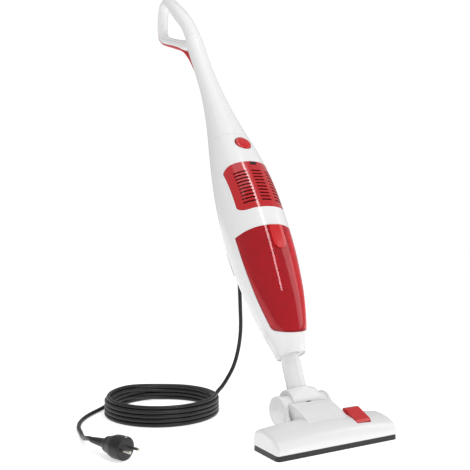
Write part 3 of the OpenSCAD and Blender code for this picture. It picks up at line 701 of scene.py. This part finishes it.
@dataclass(frozen=True)
class Handle:
    """Stem and closed loop in white, with the red strip let into its back.

    Rows are (back, up, half width, half height).
    """

    front_bar: tuple[tuple[float, ...], ...] = (
        (5, 770, 18, 17), (8, 812, 17.5, 19.5), (11, 842, 17, 18.5), (18, 874, 17, 17.5), (31, 909, 17, 18),
        (45, 945, 16, 17), (57, 975, 14.5, 15), (69, 997, 13.5, 13.5), (84, 1008, 13, 12),
    )  # fmt: skip
    rear_bar: tuple[tuple[float, ...], ...] = (
        (72, 998, 10, 9), (88, 1007.5, 13.4, 12.4), (104, 1001, 14, 12.5), (117, 987, 14, 12), (130, 968, 14, 11.5),
        (137, 948, 14, 11.5), (132, 928, 14, 11.5), (116, 906, 14, 11.5), (97, 883, 14, 11.5), (77, 859, 14.5, 12),
        (57, 836, 15, 13), (38, 813, 15, 14), (16, 792, 13, 12),
    )  # fmt: skip
    inlay: tuple[tuple[float, ...], ...] = (
        (84, 1017.5, 4, 2.5), (92, 1016, 7, 4), (109, 1008.5, 10.5, 4.5), (124, 992.5, 11, 4.5), (137, 972, 11, 4.5),
        (145, 948, 11, 4.5), (139, 924.5, 11, 4.5), (122, 901.5, 11.5, 5), (102, 879, 12, 6), (81.5, 855, 13, 7),
        (62, 831.5, 13, 7.5), (46, 806, 12, 8), (36, 772, 10, 6), (30, 738, 9.5, 5), (27, 705, 8, 4),
        (26, 688, 4, 2.5),
    )  # fmt: skip
    stem: tuple[float, float] = (465, 806)
    voxel: float = 1.5

    def build(self) -> None:
        """Fuses stem and bars into one soft-edged skin, cuts it at the seam and adds the strip."""
        parts = [
            FORM.solid("stem", 0, *self.stem),
            oval_bar("front_bar", np.array(self.front_bar), 8, 48, STICK),
            oval_bar("rear_bar", np.array(self.rear_bar), 8, 48, STICK),
        ]
        loop = fused("loop_handle", parts, self.voxel * MM, 8)
        carve(loop, HOUSING.beyond_seam(False, HOUSING.joint / 2))
        dress(shade(loop), WHITE_ABS, "housing", ("handle_shell", "handle_back"))
        strip = oval_bar("handle_strip", np.array(self.inlay), 10, 40, STICK)
        dress(shade(strip), RED_GRIP, "housing", ("handle_inlay",))


# ---------- neck and floor head ----------


@dataclass(frozen=True)
class SwivelYoke:
    """Elbow between the tube and the barrel: a hull from a disc to a saddle, hollowed for both."""

    tube_r: float = 18.5
    bore_r: float = 14.5
    barrel_r: float = 25
    saddle_r: float = 27
    saddle_w: float = 60

    def build(self) -> None:
        """Wraps the hull, softens it and cuts the pocket, the bore, the barrel's bed and the air port."""
        disc = rod("disc", self.tube_r + 2, (0, 0, 30), (0, 0, 35.6), NECK, 72)
        saddle = rod("saddle", self.saddle_r, (-self.saddle_w / 2, 0, 8), (self.saddle_w / 2, 0, 8), NECK, 72)
        points = [np.array([v.co[:] for v in part.data.vertices]) for part in (disc, saddle)]
        wrap = bmesh.new()
        for point in np.vstack(points):
            wrap.verts.new(point)
        bmesh.ops.convex_hull(wrap, input=wrap.verts)
        mesh = bpy.data.meshes.new("hull")
        wrap.to_mesh(mesh)
        wrap.free()
        hull = bpy.data.objects.new("hull", mesh)
        bpy.context.scene.collection.objects.link(hull)
        bpy.data.objects.remove(disc)
        bpy.data.objects.remove(saddle)
        yoke = fused("swivel_elbow", [hull], 0.9 * MM, 8)
        pocket = self.bore_r + 2
        carve(yoke, rod("pocket", pocket, (0, 0, self.barrel_r + 0.6), (0, 0, 70), NECK))
        carve(yoke, rod("bore", self.bore_r, (0, 0, 0), (0, 0, 60), NECK))
        carve(yoke, rod("bed", self.barrel_r, (-100, 0, 0), (100, 0, 0), PIVOT, 96))
        trim = slab("trim", np.array([[-60, -60], [0, -60], [0, 6], [-60, 6]]), "x", -60, 60, PIVOT)
        carve(trim, rod("keep", self.saddle_r, (-100, 0, 0), (100, 0, 0), PIVOT, 96))
        carve(yoke, trim)
        lean = math.radians(80)
        carve(yoke, rod("port", self.bore_r - 1, (0, 0, 0), (0, -60 * math.sin(lean), 60 * math.cos(lean)), PIVOT))
        dress(shade(yoke), WHITE_ABS, "yoke", ("swivel_yoke",))


@dataclass(frozen=True)
class FloorHead:
    """Cover of the floor head with its hump, split from its two end caps."""

    width: float = 250
    strip: float = 9
    crown: float = 0.26
    end_round: float = 4
    cap: float = 3
    hump_w: float = 84
    profile: tuple[tuple[float, float], ...] = (
        (-38, 9), (-37, 18), (-33.5, 25), (-28, 29.5), (-18, 33.5), (-6, 36), (8, 37.3), (20, 37), (29, 34),
        (35, 28), (38, 19), (38, 9),
    )  # fmt: skip
    hump: tuple[tuple[float, float], ...] = (
        (-16, 35), (0, 45.5), (20, 55), (36, 60.5), (48, 62.5), (58, 61), (66, 56), (66, 16), (37, 16), (34, 34),
    )  # fmt: skip
    hump_hollow: tuple[tuple[float, float], ...] = (
        (-6, 30), (-6, 36), (4, 42), (22, 51), (36, 56), (46, 58), (46, 20), (34, 20),
    )  # fmt: skip

    def loft(self, name: str, width: float, inset: float, round_end: float) -> Piece:
        """Long arch: at each x the profile, raised by a crown that falls off with the square of x, and drawn in
        by a quarter circle over the last round_end of each end."""
        half = width / 2
        end = half - round_end * (1 - np.linspace(0, 1, 9)) if round_end else np.array([half])
        x = np.concatenate([-end[::-1], np.linspace(-end[0], end[0], 62)[1:-1], end])[:, None]
        t = np.clip((np.abs(x) - half + round_end) / max(round_end, 1e-6), 0, 1)
        drawn = round_end * (1 - np.sqrt(np.clip(1 - t * t, 0, 1))) + inset
        side = spline(np.array(self.profile), 6)[::-1]
        y = side[:, 0] * (1 - drawn / 38)
        high = self.strip + (side[:, 1] - 9) * (1 + self.crown * (1 - np.clip(np.abs(2 * x / self.width), 0, 1) ** 2))
        foot = side[:, 1] < 10
        z = np.where(foot, self.strip - 4, high - drawn)
        return skin(name, FLAT.world(np.stack([x + 0 * y, y, z], -1)))

    def blank(self) -> Piece:
        """Arch and hump wrapped in one soft skin."""
        hump = slab("hump", np.array(self.hump), "x", -self.hump_w / 2, self.hump_w / 2, FLAT)
        return fused("floor_head_cover", [self.loft("arch", self.width, 0, self.end_round), hump], 1.1 * MM, 7)

    def block(self, name: str, low: tuple[float, float, float], high: tuple[float, float, float]) -> Piece:
        """A plain block between two corners, as a cutter."""
        square = np.array([[low[1], low[2]], [high[1], low[2]], [high[1], high[2]], [low[1], high[2]]])
        return slab(name, square, "x", low[0], high[0], FLAT)

    def build(self) -> None:
        """Cuts the blank into cover and caps, hollows it, and opens it for the pedal, the barrel and the saddle."""
        cover = self.blank()
        carve(cover, self.block("below", (-200, -100, -50), (200, 100, self.strip + 0.1)))
        caps = cover.copy()
        caps.data = cover.data.copy()
        caps.name = "end_caps_pair"
        bpy.context.scene.collection.objects.link(caps)
        edge = self.width / 2 - self.cap
        carve(caps, self.block("middle", (-edge, -100, -50), (edge, 100, 100)))
        dress(shade(caps), WHITE_ABS, "head", ("end_caps",))
        carve(cover, self.block("ends", (-edge + 0.35, -100, -50), (edge - 0.35, 100, 120)), keep_inside=True)
        carve(cover, self.loft("hollow", self.width - 16, 2.4, 0))
        inner = np.array(self.hump_hollow)
        carve(cover, slab("hump_hollow", inner, "x", 3 - self.hump_w / 2, self.hump_w / 2 - 3, FLAT))
        lean = math.radians(105)
        out = np.array([0, -math.sin(lean), math.cos(lean)])
        hose = np.array([0, 47, 36])
        carve(cover, rod("hose_way", 13.1, hose - 8 * out, hose + 12 * out, FLAT))
        carve(cover, rod("saddle_way", 27.8, (-31.5, 0, 0), (31.5, 0, 0), PIVOT, 96))
        carve(cover, rod("barrel_way", 25.6, (-100, 0, 0), (100, 0, 0), PIVOT, 96))
        carve(cover, self.block("neck_way", (-31.5, 48.5, 50), (31.5, 108.5, 110)))
        carve(cover, self.block("pedal_way", (45.4, -26, 20), (76.6, 19.5, 80)))
        dress(shade(cover), WHITE_ABS, "head", ("head_cover",))
        for side in (-1, 1):
            a = np.linspace(0, 2 * np.pi, 96, endpoint=False) * side
            rim = np.stack([0 * a + side * 51.4, 25.3 * np.cos(a), 25.3 * np.sin(a)], -1)
            ring = bead(f"cheek_rim_{'left' if side < 0 else 'right'}", PIVOT.world(rim), rim * [0, 1, 1], 0.7 * MM)
            dress(shade(ring, 80), INNER_ABS, "head")


# ---------- mains lead ----------


@dataclass(frozen=True)
class MainsLead:
    """Eight-millimetre lead: down from the gland, wound in a coil behind, and on to the earthed plug."""

    diameter: float = 8
    exit: tuple[float, float, float] = (0, 301, 286)
    hanging: tuple[tuple[float, float, float], ...] = (
        (0, 301, 292), (0, 300, 260), (0, 298, 230), (0, 296, 200), (0, 294.5, 170), (-2, 295, 140), (-7, 297, 110),
        (-15, 299, 84), (-27, 301, 62), (-41, 299, 46), (-54, 293, 38.5), (-65, 282.5, 35.2), (-74, 270.5, 35),
    )  # fmt: skip
    lying: tuple[tuple[float, float, float], ...] = (
        (-160, 444.5, 4), (-140.5, 453, 4), (-129.5, 469, 4), (-127.5, 488.5, 4), (-136, 506.5, 4), (-152, 517.5, 4),
        (-171.5, 519.5, 4), (-188.5, 512, 4), (-199, 499, 4), (-209, 482, 4), (-221, 462, 4), (-233, 443, 4),
        (-246, 425, 4), (-259, 409, 4), (-273, 395, 4), (-288, 381, 4), (-303, 366, 4), (-317, 349, 4),
        (-330, 329, 4), (-340, 307, 4), (-347, 283, 4), (-351, 258, 4), (-355.5, 233, 5), (-359.5, 209, 9),
        (-362, 186, 15), (-361.5, 170, 18.5), (-359.5, 158, 19),
    )  # fmt: skip
    coil_centre: tuple[float, float] = (-162, 332)
    groove: tuple[float, float] = (107, 35)
    slots: tuple[tuple[float, float], ...] = (
        (111, 28), (103, 28), (103, 20), (111, 20), (111, 12), (103, 12), (103, 4), (111, 4),
    )  # fmt: skip
    first_angle: float = -43.3
    change_half: float = 30
    plug_at: tuple[float, float, float] = (-347, 130, 19)
    plug_turn: float = 24
    plug_size: tuple[float, float] = (19, 46)

    def coil(self) -> Array:
        """Turns of the coil, clockwise: the angle falls evenly, and radius and height pass from one slot to the
        next over a smooth step at the back."""
        last = -270 - 360 * len(self.slots) + 8
        count = round((self.first_angle - last) / 15)
        angle = np.linspace(self.first_angle, last, count)
        rows = np.array([self.groove, *self.slots])
        at = rows[:1] + 0 * angle[:, None]
        for k in range(len(self.slots)):
            t = np.clip((-270 - 360 * k + self.change_half - angle) / (2 * self.change_half), 0, 1)
            at = at + (t * t * (3 - 2 * t))[:, None] * (rows[k + 1] - rows[k])
        a = np.radians(angle)
        x, y = self.coil_centre[0] + at[:, 0] * np.cos(a), self.coil_centre[1] + at[:, 0] * np.sin(a)
        return np.stack([x, y, at[:, 1]], -1)

    def plug_line(self) -> tuple[Array, Array]:
        """The plug's foot and its unit direction along the floor."""
        a = math.radians(self.plug_turn)
        return np.array(self.plug_at, float), np.array([math.sin(a), -math.cos(a), 0])

    def build(self) -> None:
        """Lays the lead as one curve, builds the plug's body, and dresses both."""
        points = np.vstack([self.hanging, self.coil(), self.lying]) * MM
        curve = bpy.data.curves.new("mains_lead", "CURVE")
        curve.dimensions = "3D"
        curve.bevel_depth, curve.bevel_resolution = self.diameter / 2 * MM, 4
        curve.use_fill_caps = True
        line = curve.splines.new("BEZIER")
        line.bezier_points.add(len(points) - 1)
        line.bezier_points.foreach_set("co", points.ravel())
        for knot in line.bezier_points:
            knot.handle_left_type = knot.handle_right_type = "AUTO"
        line.resolution_u = 5
        lead = bpy.data.objects.new("mains_lead", curve)
        bpy.context.scene.collection.objects.link(lead)
        dress(lead, CORD_PVC, "housing", ("cord_tube", "cord_coil", "cord_lead"))
        foot, way = self.plug_line()
        rows = np.array([
            [0, 6], [0.4, 9], [1.6, 11.5], [5, 13], [12, 14.5], [19, 17], [24, 18.4], [28, 18.9],
            [40, 19], [44.5, 18.8],
            [45.6, 18], [46, 16.5],
        ])  # fmt: skip
        body = turned_rod("plug_grip", spline(rows, 4), foot, foot + way, FLAT, 96)
        plug = dress(shade(body, 50), CORD_PVC, "housing", ("plug_body",))


# ---------- studio ----------


@dataclass(frozen=True)
class Studio:
    """Camera, pale floor, white surroundings and soft lights; lengths in metres."""

    camera_at: tuple[float, float, float] = (-0.691, -0.903, 0.352)
    camera_way: tuple[float, float, float] = (0.492, 0.870, 0.0)
    lens: float = 50.5
    shift: float = 0.0064
    floor_half: float = 20

    def camera(self) -> None:
        """The level camera, with a small upward shift."""
        data = bpy.data.cameras.new("camera")
        data.lens, data.sensor_width, data.shift_y, data.clip_end = self.lens, 36, self.shift, 200
        camera = bpy.data.objects.new("camera", data)
        camera.location = self.camera_at
        camera.rotation_euler = Vector(self.camera_way).to_track_quat("-Z", "Y").to_euler()
        bpy.context.scene.collection.objects.link(camera)
        bpy.context.scene.camera = camera

    def floor(self) -> None:
        """Matt white sheet, faintly self-lit so that it ends in the white surroundings."""
        h = self.floor_half
        sheet = new_piece("floor", np.array([[-h, -h, 0], [h, -h, 0], [h, h, 0], [-h, h, 0]]), [[0, 1, 2, 3]])
        paper = bpy.data.materials.new("white_paper_floor")
        paper.use_nodes = True
        shader = paper.node_tree.nodes["Principled BSDF"]
        for key, value in {"Base Color": linear("#F4F4F4"), "Roughness": 0.9, "Emission Strength": 0.58}.items():
            shader.inputs[key].default_value = value
        shader.inputs["Emission Color"].default_value = (1, 1, 1, 1)
        shader.inputs["Specular IOR Level"].default_value = 0.1
        sheet.data.materials.append(paper)

    def light(self, name: str, at: tuple[float, float, float], size: tuple[float, float], watts: float) -> None:
        """A soft box that faces the middle of the object."""
        data = bpy.data.lights.new(name, "AREA")
        data.shape, data.size, data.size_y, data.energy = "RECTANGLE", size[0], size[1], watts
        lamp = bpy.data.objects.new(name, data)
        lamp.location = at
        lamp.rotation_euler = (Vector((0, 0.3, 0.45)) - Vector(at)).to_track_quat("-Z", "Y").to_euler()
        bpy.context.scene.collection.objects.link(lamp)

    def surroundings(self) -> None:
        """White where it is seen or seen through, and dimmer where it lights the object."""
        world = bpy.data.worlds.new("white_room")
        world.use_nodes = True
        bpy.context.scene.world = world
        tree = world.node_tree
        ray = add_node(tree, "ShaderNodeLightPath", {})
        seen = add_node(tree, "ShaderNodeMath", {"operation": "MAXIMUM"})
        tree.links.new(ray.outputs["Is Camera Ray"], seen.inputs[0])
        tree.links.new(ray.outputs["Is Transmission Ray"], seen.inputs[1])
        level = add_node(tree, "ShaderNodeMapRange", {"To Min": 0.46, "To Max": 1.05}, {"Value": seen.outputs[0]})
        back = tree.nodes["Background"]
        back.inputs["Color"].default_value = (1, 1, 1, 1)
        tree.links.new(level.outputs[0], back.inputs["Strength"])

    def build(self) -> None:
        """Sets the whole studio."""
        self.camera()
        self.floor()
        self.surroundings()
        self.light("front_strip", (0.05, -1.1, 2.2), (0.28, 2.2), 15)
        self.light("right_box", (1.9, -0.9, 1.2), (1.2, 1.8), 9)
        self.light("top_box", (-0.4, 0.4, 2.6), (2.2, 2.2), 10)
        bpy.context.scene.view_settings.view_transform = "Standard"


def dress_cad_nodes(nodes: dict[str, Piece]) -> None:
    """Gives each CAD node that is shown its real material."""
    for finish, names in CAD_FINISHES.items():
        for name in names:
            piece = nodes[name]
            piece.data.materials.clear()
            piece.data.materials.append(finish.material())


def corners(box: tuple[Vector, Vector]) -> list[list[float]]:
    """A box's two corners as plain lists."""
    return [[float(v) for v in corner] for corner in box]


def main() -> None:
    """Loads the frame, builds the studio, the lead and every piece."""
    logging.basicConfig(level=logging.INFO, format="%(message)s")
    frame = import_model()
    Studio().build()
    MainsLead().build()
    dress_cad_nodes(frame["nodes"])
    for part in (HOUSING, ExhaustGrille(), DustCup(), Handle(), SwivelYoke(), FloorHead()):
        part.build()


if __name__ == "__main__":
    main()
